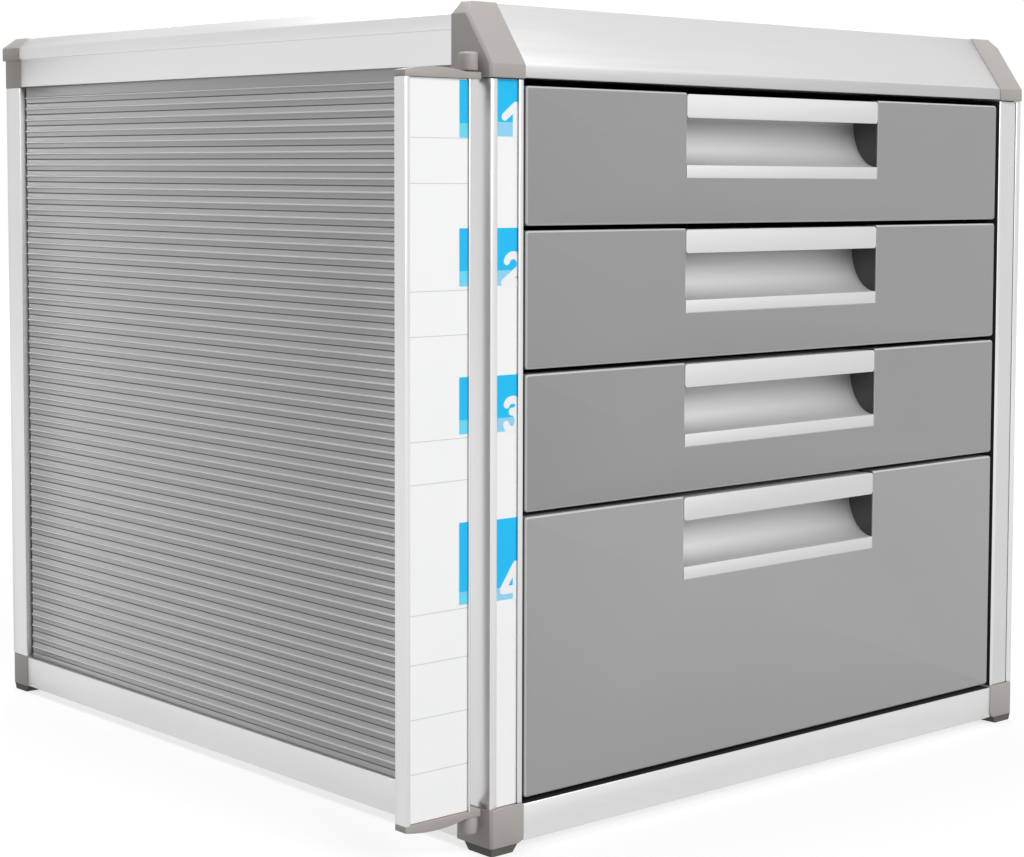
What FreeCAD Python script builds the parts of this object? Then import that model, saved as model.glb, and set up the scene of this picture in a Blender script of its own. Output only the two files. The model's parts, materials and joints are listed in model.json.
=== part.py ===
import FreeCAD, Part
import math
import os
from FreeCAD import Vector

# A desktop file cabinet: an extruded aluminium frame with moulded corner pieces, ribbed side
# panels, four drawers and an index board hinged on the front left corner. Millimetres.
# The origin lies on the surface the cabinet stands on, at the middle of its width and depth.
# The drawers open towards -Y.

os.makedirs("parts", exist_ok=True)

# ---- Cabinet, overall ----
body_width = 300.0
body_depth = 350.0
body_height = 298.5
foot_height = 3.0

# ---- Corner pieces and frame rails ----
corner_width = 15.2
top_front_corner_depth = 22.1
bottom_front_corner_depth = 19.3
rear_corner_depth = 12.9
bottom_rail_height = 14.0
bottom_front_rail_depth = 15.0
lintel_drop = 27.2
eave_drop = 22.6
front_lip_height = 4.9
front_slope_run = 16.2
skirt_height = 5.7
skirt_overhang_side = 0.6
skirt_overhang_rear = 1.7
crown_chamfer = 4.5
rail_wall = 1.6
groove_wall = 4.0
rail_inset = 0.3
tenon_length = 7.0
tenon_clearance = 0.1
corner_front_chamfer = 1.0
corner_toe_radius = 3.0
ledge_reach = 2.6
ledge_thickness = 1.4

# ---- Posts ----
front_post_depth = 18.25
rear_post_depth = 12.4
front_post_setback = 0.75
rear_post_setback = 0.3
post_wall = 1.5
post_end_gap = 0.25
card_slot_offset = 2.1
card_slot_margin = 1.2
card_lip_reach = 1.0
card_slot_depth = 0.75
card_lip_thickness = 0.5
card_end_gap = 0.35

# ---- Panels ----
sheet_thickness = 1.4
panel_recess = 2.0
panel_end_gap = 1.8
rib_pitch = 5.05
rib_depth = 0.5
rib_crest = 0.4
rib_flank = 0.3
flute_width = 0.6
flute_depth = 0.35
panel_back_thickness = 0.9
groove_depth = 2.4
groove_clearance = 0.1

# ---- Label card and its clear cover, in the post and in the index board ----
card_thickness = 0.3
cover_thickness = 0.35
blank_thickness = 0.6
slip_clearance = 0.05

# ---- Drawers ----
small_drawer_count = 3
small_front_height = 49.0
front_gap = 1.8
sill_gap = 1.4
lintel_gap = 2.4
side_gap = 1.55
front_setback = 1.1
front_plate = 2.2
front_flange = 1.8
front_shell_depth = 17.0
front_bevel = 0.6
front_corner_radius = 1.2
tray_wall = 2.0
tray_floor = 2.0
tray_corner_radius = 7.0
tray_lift = 2.0
tray_headroom = 7.0
tray_rear_gap = 13.0
tray_rim_thickness = 2.5
tray_rib_height = 0.8
tray_rib_width = 3.0
tray_rib_count = 5
engaged_length = 60.5

# ---- Runner frames ----
runner_plate = 2.0
runner_reach = 4.5
runner_thickness = 2.2
runner_side_gap = 0.8
runner_clearance = 0.3
holddown_thickness = 1.6
stop_length = 5.0
stop_height = 4.0
stop_clearance = 0.4

# ---- Handles ----
handle_width = 109.2
handle_notch_clearance = 0.3
handle_top_drop = 0.5
handle_bar_height = 8.8
handle_bar_thickness = 1.8
handle_mouth_height = 17.8
handle_lip_height = 4.7
handle_scoop_depth = 13.2
handle_wall = 1.4
handle_flange_height = 5.0
handle_bar_radius = 1.2
scoop_flats = 9
cheek_thickness = 1.0
notch_skin = 0.8

# ---- Blocks inside a drawer front that take the screws from the tray ----
boss_size = 7.0
boss_inset_x = 22.0
boss_inset_z = 12.5

# ---- Index board ----
board_width = 28.5
board_thickness = 6.0
board_wall = 1.1
board_lip_outer = 2.1
board_lip_inner = 0.8
board_near_undercut = 0.3
board_hinge_offset = 1.5
hinge_out = 5.0
hinge_back = 6.5
ear_radius = 3.0
ear_depth = 2.7
ear_height = 6.4
ear_arm_setback = 0.7
ear_end_chamfer = 0.7
hinge_pin_radius = 1.35
hinge_pin_clearance = 0.05
hinge_pin_length = 5.0
cap_thickness = 2.4
cap_arch_end = 4.2
cap_crown = 3.6
cap_crown_reach = 16.0
cap_end_thickness = 2.2
cap_plug_length = 5.0
board_foot_level = 12.1
ear_end_clearance = 0.1
ear_top_clearance = 0.6

# ---- Feet ----
foot_length = 15.2
foot_width = 12.1
foot_inset = 0.5
foot_outer_draft = 0.4
foot_inner_draft = 2.0

# ---- Levels and planes that the sizes above give ----
half_width = body_width / 2
front_y = -body_depth / 2
rear_y = body_depth / 2
base_z = foot_height
top_z = base_z + body_height
sill_z = base_z + bottom_rail_height
lintel_z = top_z - lintel_drop
eave_z = top_z - eave_drop
lip_z = lintel_z + front_lip_height
chamfer_z = top_z - crown_chamfer
skirt_z = chamfer_z - skirt_height
inner_x = half_width - corner_width
post_outer_x = half_width
post_inner_x = inner_x + rail_inset
post_width = post_outer_x - post_inner_x
card_slot_width = post_width - card_slot_offset - card_slot_margin
card_window_width = card_slot_width - 2 * card_lip_reach
front_post_y = front_y + front_post_setback
front_post_back_y = front_post_y + front_post_depth
rear_post_y = rear_y - rear_post_setback
rear_post_front_y = rear_post_y - rear_post_depth
panel_x = half_width - panel_recess
panel_back_x = panel_x - rib_depth - panel_back_thickness
panel_front_y = front_post_back_y + panel_end_gap
panel_rear_y = rear_post_front_y - panel_end_gap
rear_panel_y = rear_y - panel_recess

# ---- Drawer places ----
front_half_width = post_inner_x - side_gap
drawer_front_y = front_y + front_setback
tray_front_y = drawer_front_y + front_shell_depth
tray_rear_y = rear_panel_y - sheet_thickness - tray_rear_gap
rim_half_width = post_inner_x - runner_side_gap
rim_rear_y = tray_rear_y - tray_corner_radius
tray_half_width = post_inner_x - runner_reach - runner_side_gap
runner_front_y = front_post_back_y + runner_clearance
runner_rear_y = rear_post_front_y - runner_clearance
handle_height = handle_bar_height + handle_mouth_height + handle_lip_height

drawer_travel = tray_rear_y - tray_front_y - engaged_length

deep_bottom_z = sill_z + sill_gap
small_stack = small_drawer_count * (small_front_height + front_gap)
deep_front_height = lintel_z - lintel_gap - small_stack - deep_bottom_z
drawer_heights = [small_front_height] * small_drawer_count + [deep_front_height]
drawer_bottoms = []
next_z = deep_bottom_z + deep_front_height + front_gap
for _ in range(small_drawer_count):
    drawer_bottoms.insert(0, next_z)
    next_z += small_front_height + front_gap
drawer_bottoms.append(deep_bottom_z)

# ---- Hinge and index board places ----
hinge_x = -half_width - hinge_out
hinge_y = front_y + hinge_back
board_bottom_z = base_z + board_foot_level
board_channel_z = board_bottom_z + cap_thickness
board_channel_top_z = lintel_z - 0.7
board_top_z = board_channel_top_z + cap_thickness
board_near_x = hinge_x - board_hinge_offset
board_far_x = board_near_x - board_width
board_front_y = hinge_y - board_thickness / 2
board_back_y = hinge_y + board_thickness / 2


def box(x0, x1, y0, y1, z0, z1):
    """A block between six planes, given in any order."""
    lo = Vector(min(x0, x1), min(y0, y1), min(z0, z1))
    return Part.makeBox(abs(x1 - x0), abs(y1 - y0), abs(z1 - z0), lo)


def outline(points, plane, level):
    """A face with straight edges. plane says which two axes the points run along."""
    place = {
        "xy": lambda a, b: Vector(a, b, level),
        "xz": lambda a, b: Vector(a, level, b),
        "yz": lambda a, b: Vector(level, a, b),
    }[plane]
    corners = [place(a, b) for a, b in points]
    return Part.Face(Part.makePolygon(corners + corners[:1]))


def grow(face, distance):
    """The same face with every side moved outwards, or inwards if distance is negative."""
    return face.makeOffset2D(distance, 2)


def along(axis, start, end):
    return Vector(*[(end - start) if a == axis else 0 for a in "xyz"])


def cylinder_z(x, y, radius, z0, z1):
    return Part.makeCylinder(radius, abs(z1 - z0), Vector(x, y, min(z0, z1)))


def rounded_block(x0, x1, y0, y1, z0, z1, radius):
    """A block whose four upright edges are rounded."""
    block = box(x0, x1, y0, y1, z0, z1)
    upright = [e for e in block.Edges if abs(e.tangentAt(e.FirstParameter).z) > 0.99]
    return block.makeFillet(radius, upright)


def soften(shape, radius, wanted):
    """Rounds the edges for which wanted(edge) is true."""
    edges = [e for e in shape.Edges if wanted(e)]
    return shape.makeFillet(radius, edges)


def mirrored(shape):
    return shape.mirror(Vector(0, 0, 0), Vector(1, 0, 0))


def save(node, *solids):
    shape = solids[0] if len(solids) == 1 else Part.makeCompound(list(solids))
    shape.exportStep(f"parts/{node}.step")
    print(f"{node}: {len(shape.Solids)} solid(s), {sum(s.Volume for s in shape.Solids):.0f} mm3")


# ---- Outlines that the rails and the corner pieces share ----
def front_top_outline(level):
    """The sloping front, seen from the side."""
    back = front_y + top_front_corner_depth
    points = [
        (front_y, lintel_z),
        (front_y, lip_z),
        (front_y + front_slope_run, top_z),
        (back, top_z),
        (back, lintel_z),
    ]
    return outline(points, "yz", level)


def side_top_outline(level, floor_z):
    """The left eave, seen from the front: a wall, a skirt that stands out over it and a chamfered crown."""
    skirt_x = -half_width - skirt_overhang_side
    points = [
        (-half_width, floor_z),
        (-half_width, skirt_z),
        (skirt_x, skirt_z),
        (skirt_x, chamfer_z),
        (skirt_x + crown_chamfer, top_z),
        (-inner_x, top_z),
        (-inner_x, floor_z),
    ]
    return outline(points, "xz", level)


def rear_top_outline(level, floor_z):
    """The rear eave, seen from the side."""
    skirt_y = rear_y + skirt_overhang_rear
    inner_y = rear_y - rear_corner_depth
    points = [
        (rear_y, floor_z),
        (rear_y, skirt_z),
        (skirt_y, skirt_z),
        (skirt_y, chamfer_z),
        (skirt_y - crown_chamfer, top_z),
        (inner_y, top_z),
        (inner_y, floor_z),
    ]
    return outline(points, "yz", level)


def bottom_outline(plane, level, outer, inner):
    points = [(outer, base_z), (outer, sill_z), (inner, sill_z), (inner, base_z)]
    return outline(points, plane, level)


# ---- Rails: a skin round a cavity, with a groove for a panel and a ledge for the top or the floor ----
def cavity_of(section, groove_side):
    """The hollow of a rail. The wall that carries the panel groove is thicker than the others."""
    hollow = grow(section, -rail_wall)
    bounds = section.BoundBox
    low = bounds.ZMin + (groove_wall if groove_side == "below" else 0)
    high = bounds.ZMax - (groove_wall if groove_side == "above" else 0)
    keep = box(bounds.XMin - 1, bounds.XMax + 1, bounds.YMin - 1, bounds.YMax + 1, low, high)
    return hollow.common(keep).Faces[0]


def tube(section, cavity, axis, start, end):
    reach = along(axis, start, end)
    return section.extrude(reach).cut(cavity.extrude(reach))


def tenon(cavity, axis, start, end):
    """The plug of a corner piece in the hollow of a rail."""
    return grow(cavity, -tenon_clearance).extrude(along(axis, start, end))


def panel_groove(axis, at, start, end, z):
    """The slot for a panel's edge. at is the panel's outer plane, on the negative side of the axis."""
    thick = rib_depth + panel_back_thickness if axis == "y" else sheet_thickness
    near = at - groove_clearance
    far = at + thick + groove_clearance
    if axis == "y":
        return box(near, far, start, end, z - groove_depth, z + groove_depth)
    return box(start, end, near, far, z - groove_depth, z + groove_depth)


def top_ledge(x0, x1, y0, y1):
    level = top_z - rail_inset - sheet_thickness
    return box(x0, x1, y0, y1, level - ledge_thickness, level)


def floor_ledge(x0, x1, y0, y1):
    level = sill_z - groove_wall - sheet_thickness
    return box(x0, x1, y0, y1, level - ledge_thickness, level)


ledge_x = inner_x - 2 * ledge_reach
side_top_start = front_y + top_front_corner_depth
side_bottom_start = front_y + bottom_front_corner_depth
side_end = rear_y - rear_corner_depth


def front_top_section():
    section = grow(front_top_outline(-inner_x), -rail_inset)
    return section, grow(section, -rail_wall)


def side_top_section(level):
    section = grow(side_top_outline(level, eave_z), -rail_inset)
    return section, cavity_of(section, "below")


def rear_top_section():
    section = grow(rear_top_outline(-inner_x, eave_z), -rail_inset)
    return section, cavity_of(section, "below")


def bottom_section(plane, level, outer, inner):
    section = bottom_outline(plane, level, outer, inner)
    return grow(section, -rail_inset), cavity_of(grow(section, -rail_inset), "above")


def front_top_rail():
    section, cavity = front_top_section()
    back = side_top_start - rail_inset
    rail = tube(section, cavity, "x", -inner_x, inner_x)
    return rail.fuse(top_ledge(-ledge_x, ledge_x, back - 0.5, back + ledge_reach))


def side_top_rail():
    section, cavity = side_top_section(side_top_start)
    rail = tube(section, cavity, "y", side_top_start, side_end)
    edge = -inner_x - rail_inset
    rail = rail.fuse(top_ledge(edge - 0.5, edge + ledge_reach, side_top_start, side_end))
    groove = panel_groove("y", -panel_x, side_top_start, side_end, eave_z + rail_inset)
    return rail.cut(groove)


def rear_top_rail():
    section, cavity = rear_top_section()
    edge = side_end + rail_inset
    rail = tube(section, cavity, "x", -inner_x, inner_x)
    rail = rail.fuse(top_ledge(-ledge_x, ledge_x, edge + 0.5, edge - ledge_reach))
    at = rear_panel_y - sheet_thickness
    return rail.cut(panel_groove("x", at, -inner_x, inner_x, eave_z + rail_inset))


def front_bottom_rail():
    section, cavity = bottom_section("yz", -inner_x, front_y, front_y + bottom_front_rail_depth)
    edge = front_y + bottom_front_rail_depth - rail_inset
    rail = tube(section, cavity, "x", -inner_x, inner_x)
    return rail.fuse(floor_ledge(-ledge_x, ledge_x, edge - 0.5, edge + ledge_reach))


def side_bottom_rail():
    section, cavity = bottom_section("xz", side_bottom_start, -half_width, -inner_x)
    edge = -inner_x - rail_inset
    rail = tube(section, cavity, "y", side_bottom_start, side_end)
    rail = rail.fuse(floor_ledge(edge - 0.5, edge + ledge_reach, side_bottom_start, side_end))
    groove = panel_groove("y", -panel_x, side_bottom_start, side_end, sill_z - rail_inset)
    return rail.cut(groove)


def rear_bottom_rail():
    section, cavity = bottom_section("yz", -inner_x, rear_y, side_end)
    edge = side_end + rail_inset
    rail = tube(section, cavity, "x", -inner_x, inner_x)
    rail = rail.fuse(floor_ledge(-ledge_x, ledge_x, edge + 0.5, edge - ledge_reach))
    at = rear_panel_y - sheet_thickness
    return rail.cut(panel_groove("x", at, -inner_x, inner_x, sill_z - rail_inset))


# ---- Posts ----
slot_x = -post_outer_x + card_slot_offset
slot_front_y = front_post_y + card_lip_thickness
slot_back_y = slot_front_y + card_slot_depth


def front_post_cavity(z0, z1, clearance=0.0):
    return box(
        -post_outer_x + post_wall + clearance,
        -post_inner_x - post_wall - clearance,
        slot_back_y + post_wall + clearance,
        front_post_back_y - post_wall - clearance,
        z0,
        z1,
    )


def rear_post_cavity(z0, z1, clearance=0.0):
    return box(
        -post_outer_x + post_wall + clearance,
        -post_inner_x - post_wall - clearance,
        rear_post_front_y + post_wall + clearance,
        rear_post_y - post_wall - clearance,
        z0,
        z1,
    )


def front_post():
    """It ends a little below the top corner piece, which leaves a fine dark joint."""
    end_z = lintel_z - post_end_gap
    post = box(-post_outer_x, -post_inner_x, front_post_y, front_post_back_y, sill_z, end_z)
    slot = box(slot_x, slot_x + card_slot_width, slot_front_y, slot_back_y, sill_z, end_z)
    window_x = slot_x + card_lip_reach
    window = box(window_x, window_x + card_window_width, front_post_y - 1, slot_back_y, sill_z, end_z)
    return post.cut([front_post_cavity(sill_z, end_z), slot, window])


def rear_post():
    post = box(-post_outer_x, -post_inner_x, rear_post_front_y, rear_post_y, sill_z, eave_z)
    return post.cut(rear_post_cavity(sill_z, eave_z))


# ---- Corner pieces ----
def hinge_ear(z0, bore_end):
    """A boss with a round front, an arm behind it to the corner piece, and the bore for the board's pin."""
    z1 = z0 + ear_height
    back = hinge_y + ear_depth
    boss = cylinder_z(hinge_x, hinge_y, ear_radius, z0, z1)
    block = box(hinge_x - ear_radius, hinge_x + ear_radius, hinge_y, back, z0, z1)
    ear = boss.fuse(block).removeSplitter()
    end_z = z0 if bore_end == "top" else z1
    rim = [e for e in ear.Edges if abs(e.BoundBox.ZMin - end_z) + abs(e.BoundBox.ZMax - end_z) < 1e-3]
    ear = ear.makeChamfer(ear_end_chamfer, rim)
    arm_z0 = z0 + (ear_end_chamfer if bore_end == "top" else 0)
    arm_z1 = z1 - (ear_end_chamfer if bore_end == "bottom" else 0)
    arm = box(hinge_x, -half_width + 1, hinge_y + ear_arm_setback, back, arm_z0, arm_z1)
    radius = hinge_pin_radius + hinge_pin_clearance
    depth = hinge_pin_length - ear_end_clearance + 0.2
    if bore_end == "top":
        bore = cylinder_z(hinge_x, hinge_y, radius, z1 - depth, z1)
    else:
        bore = cylinder_z(hinge_x, hinge_y, radius, z0, z0 + depth)
    return ear.fuse(arm), bore


def with_ear(corner, z0, bore_end):
    ear, bore = hinge_ear(z0, bore_end)
    return corner.fuse(ear).cut(bore)


def top_front_corner():
    """The left one. Its side is flat, so the skirt line of the eave ends against it."""
    skirt_x = -half_width - skirt_overhang_side
    points = [
        (skirt_x, lintel_z),
        (skirt_x, chamfer_z),
        (skirt_x + crown_chamfer, top_z),
        (-inner_x, top_z),
        (-inner_x, lintel_z),
    ]
    block = outline(points, "xz", front_y).extrude(Vector(0, top_front_corner_depth, 0))
    slope = front_top_outline(skirt_x).extrude(Vector(corner_width + skirt_overhang_side, 0, 0))
    block = block.common(slope)
    side_edges = [e for e in block.Edges if e.BoundBox.XMax < skirt_x + 1e-3]
    front_edges = [e for e in side_edges if e.BoundBox.YMax < front_y + front_slope_run]
    block = block.makeChamfer(corner_front_chamfer, front_edges)
    _, front_cavity = front_top_section()
    _, side_cavity = side_top_section(side_top_start)
    plugs = [
        tenon(front_cavity, "x", -inner_x, -inner_x + tenon_length),
        tenon(side_cavity, "y", side_top_start, side_top_start + tenon_length),
        front_post_cavity(lintel_z - tenon_length, lintel_z, tenon_clearance),
    ]
    return block.fuse(plugs)


def top_rear_corner():
    """The left one, where the eaves of the side and the back meet."""
    reach = rear_corner_depth + skirt_overhang_rear
    block = side_top_outline(side_end, eave_z).extrude(Vector(0, reach, 0))
    skirt_x = -half_width - skirt_overhang_side
    rear = rear_top_outline(skirt_x, eave_z)
    block = block.common(rear.extrude(Vector(corner_width + skirt_overhang_side, 0, 0)))
    _, rear_cavity = rear_top_section()
    _, side_cavity = side_top_section(side_end)
    plugs = [
        tenon(rear_cavity, "x", -inner_x, -inner_x + tenon_length),
        tenon(side_cavity, "y", side_end, side_end - tenon_length),
        rear_post_cavity(eave_z - tenon_length, eave_z, tenon_clearance),
    ]
    return block.fuse(plugs)


def bottom_corner(outer_y, inner_y, rail_cavity, side_cavity, post_cavity):
    """The left one. It runs from the outer face at outer_y to the end of the side rail at inner_y."""
    block = box(-half_width, -inner_x, outer_y, inner_y, base_z, sill_z)
    toe = [e for e in block.Edges if abs(e.BoundBox.XMin + inner_x) + abs(e.BoundBox.ZMax - base_z) < 1e-3]
    block = block.makeFillet(corner_toe_radius, toe)
    upright = [e for e in block.Edges if e.BoundBox.XMax < -half_width + 1e-3 and e.BoundBox.YLength < 1e-3]
    outer = [e for e in upright if abs(e.BoundBox.YMin - outer_y) < 1e-3]
    block = block.makeChamfer(corner_front_chamfer, outer)
    inward = tenon_length if inner_y > outer_y else -tenon_length
    plugs = [
        tenon(rail_cavity, "x", -inner_x, -inner_x + tenon_length),
        tenon(side_cavity, "y", inner_y, inner_y + inward),
        post_cavity(sill_z, sill_z + tenon_length, tenon_clearance),
    ]
    return block.fuse(plugs)


def bottom_front_corner():
    _, rail_cavity = bottom_section("yz", -inner_x, front_y, front_y + bottom_front_rail_depth)
    _, side_cavity = bottom_section("xz", side_bottom_start, -half_width, -inner_x)
    return bottom_corner(front_y, side_bottom_start, rail_cavity, side_cavity, front_post_cavity)


def bottom_rear_corner():
    _, rail_cavity = bottom_section("yz", -inner_x, rear_y, side_end)
    _, side_cavity = bottom_section("xz", side_end, -half_width, -inner_x)
    return bottom_corner(rear_y, side_end, rail_cavity, side_cavity, rear_post_cavity)


# ---- Panels ----
def side_panel():
    """The left panel: a sheet with fine beads and, half way between them, finer flutes."""
    face_x = -panel_x + rib_depth
    low = sill_z - rail_inset - groove_depth
    high = eave_z + rail_inset + groove_depth - 3 * groove_clearance
    count = int((eave_z - sill_z) / rib_pitch)
    first = (sill_z + eave_z - (count - 1) * rib_pitch) / 2
    points = [(-panel_back_x, high), (-panel_back_x, low), (face_x, low)]
    for i in range(count):
        z = first + i * rib_pitch
        flute_z = z - rib_pitch / 2
        points += [(face_x, flute_z - flute_width / 2)]
        points += [(face_x + flute_depth, flute_z)]
        points += [(face_x, flute_z + flute_width / 2)]
        points += [(face_x, z - rib_crest / 2 - rib_flank)]
        points += [(-panel_x, z - rib_crest / 2)]
        points += [(-panel_x, z + rib_crest / 2)]
        points += [(face_x, z + rib_crest / 2 + rib_flank)]
    points += [(face_x, high)]
    sheet = outline(points, "xz", panel_front_y).extrude(Vector(0, panel_rear_y - panel_front_y, 0))
    corner_y = side_top_start + groove_clearance
    notch = box(-half_width, -inner_x, panel_front_y - 1, corner_y, lintel_z - groove_clearance, top_z)
    return sheet.cut(notch)


def back_panel():
    low = sill_z - rail_inset - groove_depth
    high = eave_z + rail_inset + groove_depth - 3 * groove_clearance
    reach = post_inner_x - 5 * groove_clearance
    return box(-reach, reach, rear_panel_y - sheet_thickness, rear_panel_y, low, high)


def top_panel():
    reach = inner_x - 2 * groove_clearance
    level = top_z - rail_inset
    start = side_top_start - rail_inset + 2 * groove_clearance
    end = side_end + rail_inset - 2 * groove_clearance
    return box(-reach, reach, start, end, level - sheet_thickness, level)


def bottom_panel():
    reach = inner_x - 2 * groove_clearance
    level = sill_z - groove_wall
    start = front_y + bottom_front_rail_depth - rail_inset + 2 * groove_clearance
    end = side_end + rail_inset - 2 * groove_clearance
    return box(-reach, reach, start, end, level - sheet_thickness, level)


# ---- Feet: a pad under each corner piece ----
def foot_outline(outer_y, inner_y, inset, draft, level):
    """A rectangle. inset is on the two sides at the cabinet's outer faces, draft on the two others."""
    towards = 1 if inner_y > outer_y else -1
    x0, x1 = -half_width + foot_inset + inset, -half_width + foot_inset + foot_width - draft
    y0, y1 = outer_y + towards * (foot_inset + inset), inner_y - towards * draft
    corners = [Vector(x, y, level) for x, y in ((x0, y0), (x1, y0), (x1, y1), (x0, y1))]
    return Part.makePolygon(corners + corners[:1])


def foot(outer_y, inner_y):
    """A pad that narrows towards the ground, most of all at its inner ends."""
    lower = foot_outline(outer_y, inner_y, foot_outer_draft, foot_inner_draft, 0)
    upper = foot_outline(outer_y, inner_y, 0, 0, base_z)
    return Part.makeLoft([lower, upper], True)


# ---- Label strip: a printed card behind a clear cover ----
def post_strip(y0, y1):
    side = slip_clearance
    low = sill_z + card_end_gap
    return box(slot_x + side, slot_x + card_slot_width - side, y0, y1, low, lintel_z - card_end_gap)


def post_index_card():
    return post_strip(slot_back_y - card_thickness, slot_back_y)


def post_index_cover():
    return post_strip(slot_front_y, slot_front_y + cover_thickness)


def post_blank_strip():
    """A plain strip that fills the slot of the right post."""
    return mirrored(post_strip(slot_back_y - blank_thickness, slot_back_y))


# ---- Runner frames ----
def tray_top(index):
    return drawer_bottoms[index] + drawer_heights[index] - tray_headroom


def rim_bottom(index):
    return tray_top(index) - tray_rim_thickness


def runner_frame():
    """The left one: a walled plate, and for each drawer a runner, a hold-down, a stop lug and a buffer."""
    low = sill_z - rail_inset
    high = lintel_z - runner_clearance
    inner = -post_inner_x
    outer = -panel_back_x + runner_clearance
    back = inner - runner_plate
    frame = box(outer, inner, runner_front_y, runner_rear_y, low, high)
    hollow = box(
        outer - 1,
        back,
        runner_front_y + runner_plate,
        runner_rear_y - runner_plate,
        low + runner_plate,
        high - runner_plate,
    )
    frame = frame.cut(hollow)
    parts = []
    for i in range(len(drawer_heights)):
        level = rim_bottom(i) - runner_clearance
        reach = inner + runner_reach
        under = level - runner_thickness
        parts.append(box(inner - 0.5, reach, runner_front_y, runner_rear_y, under, level))
        above = tray_top(i) + runner_clearance
        cover_z = above + holddown_thickness
        parts.append(box(inner - 0.5, reach, runner_front_y, runner_rear_y, above, cover_z))
        lug_y = runner_front_y + stop_length
        parts.append(box(inner - 0.5, reach, runner_front_y, lug_y, under - stop_height, under))
        rear_stop_y = rim_rear_y + runner_clearance
        parts.append(box(inner - 0.5, reach, rear_stop_y, runner_rear_y, level, above))
        parts.append(box(outer + 2, back + 0.5, runner_front_y + 1, runner_rear_y - 1, under, level))
    return frame.fuse(parts).removeSplitter()


# ---- Drawers ----
def boss_places(bottom, height):
    """Middles of the four blocks behind a drawer front, as (x, z)."""
    x = front_half_width - boss_inset_x
    return [(sx * x, z) for sx in (-1, 1) for z in (bottom + boss_inset_z, bottom + height - boss_inset_z)]


def drawer_front(bottom, height):
    """A shallow moulded shell, open to the rear, with a notch for the handle and four screw blocks."""
    top = bottom + height
    plate_back = drawer_front_y + front_plate
    shell_back = drawer_front_y + front_shell_depth
    shell = box(-front_half_width, front_half_width, drawer_front_y, shell_back, bottom, top)
    shell = soften(shell, front_corner_radius, lambda e: e.BoundBox.YLength > 1)
    front_edges = [e for e in shell.Edges if e.BoundBox.YMax < drawer_front_y + 1e-3]
    shell = shell.makeChamfer(front_bevel, front_edges)
    inner_x_reach = front_half_width - front_flange
    hollow = box(
        -inner_x_reach, inner_x_reach, plate_back, shell_back, bottom + front_flange, top - front_flange
    )
    shell = shell.cut(hollow)
    bosses = []
    half = boss_size / 2
    for x, z in boss_places(bottom, height):
        bosses.append(box(x - half, x + half, plate_back - 0.5, shell_back, z - half, z + half))
    half = handle_width / 2 + handle_notch_clearance
    wide = handle_width / 2 + cheek_thickness + 2 * slip_clearance
    foot_z = top - handle_top_drop - handle_height - slip_clearance
    notch = box(-half, half, drawer_front_y - 1, shell_back, foot_z, top + 1)
    pocket = box(-wide, wide, drawer_front_y + notch_skin, shell_back, foot_z, top + 1)
    floor_z = foot_z - handle_wall
    slot_back = plate_back + handle_wall + slip_clearance
    slot = box(-half, half, plate_back, slot_back, floor_z, foot_z)
    walls = box(-wide - handle_wall, wide + handle_wall, plate_back - 0.5, shell_back, floor_z, top - 0.5)
    return shell.fuse(bosses + [walls]).cut([notch, pocket, slot])


def scoop_solid(grow_by, level, half):
    """The room under the bar: a quarter of an elliptical bar along X, grown by a wall thickness."""
    deep = handle_scoop_depth + grow_by
    tall = handle_mouth_height + grow_by
    points = [(drawer_front_y, level)]
    for k in range(scoop_flats + 1):
        turn = math.pi / 2 * k / scoop_flats
        points.append((drawer_front_y + deep * math.cos(turn), level - tall * math.sin(turn)))
    return outline(points, "yz", -half).extrude(Vector(2 * half, 0, 0))


def finger_room(top, half):
    """All the free space inside a handle: the scoop and the slot that rises behind the bar."""
    bar_bottom = top - handle_bar_height
    behind = box(
        -half,
        half,
        drawer_front_y + handle_bar_thickness,
        drawer_front_y + handle_scoop_depth,
        bar_bottom - 1,
        top - handle_wall,
    )
    return scoop_solid(0, bar_bottom, half).fuse(behind)


def handle(top):
    """An extrusion along X: a bar, a web over it, a back wall that curves down to a lip, and a flange."""
    half = handle_width / 2
    bar_bottom = top - handle_bar_height
    lip_bottom = top - handle_height
    lip_top = lip_bottom + handle_lip_height
    plate_back = drawer_front_y + front_plate
    scoop_back = drawer_front_y + handle_scoop_depth
    upper = box(-half, half, drawer_front_y, scoop_back + handle_wall, bar_bottom, top)
    lower = scoop_solid(handle_wall, bar_bottom, half)
    lip = box(-half, half, drawer_front_y, plate_back, lip_bottom, lip_top)
    flange = box(
        -half + slip_clearance,
        half - slip_clearance,
        plate_back,
        plate_back + handle_wall,
        lip_bottom - handle_flange_height,
        lip_top,
    )
    body = upper.fuse([lower, lip, flange]).cut(finger_room(top, half + 1))

    def bar_corner(edge):
        bounds = edge.BoundBox
        across = bounds.XLength < 1e-3 and bounds.ZLength < 1e-3 and bounds.YLength > 1
        at_top = abs(bounds.ZMax - top) < 1e-3
        at_bar = abs(bounds.ZMax - bar_bottom) < 1e-3 and bounds.YMax < drawer_front_y + 2
        return across and (at_top or at_bar)

    return soften(body, handle_bar_radius, bar_corner)


def handle_cheeks(top):
    """The two dark end plates that close the ends of the handle, in pockets behind the front's skin."""
    inner = handle_width / 2 + slip_clearance
    outer = inner + cheek_thickness
    bar_bottom = top - handle_bar_height
    back = drawer_front_y + handle_scoop_depth + handle_wall
    upper = box(inner, outer, drawer_front_y, back, bar_bottom, top)
    lower = scoop_solid(handle_wall, bar_bottom, outer)
    front = drawer_front_y + notch_skin + slip_clearance
    room = box(inner, outer, front, back, top - handle_height, top)
    cheek = upper.fuse(lower).common(room).removeSplitter()
    return [cheek, mirrored(cheek)]


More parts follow.
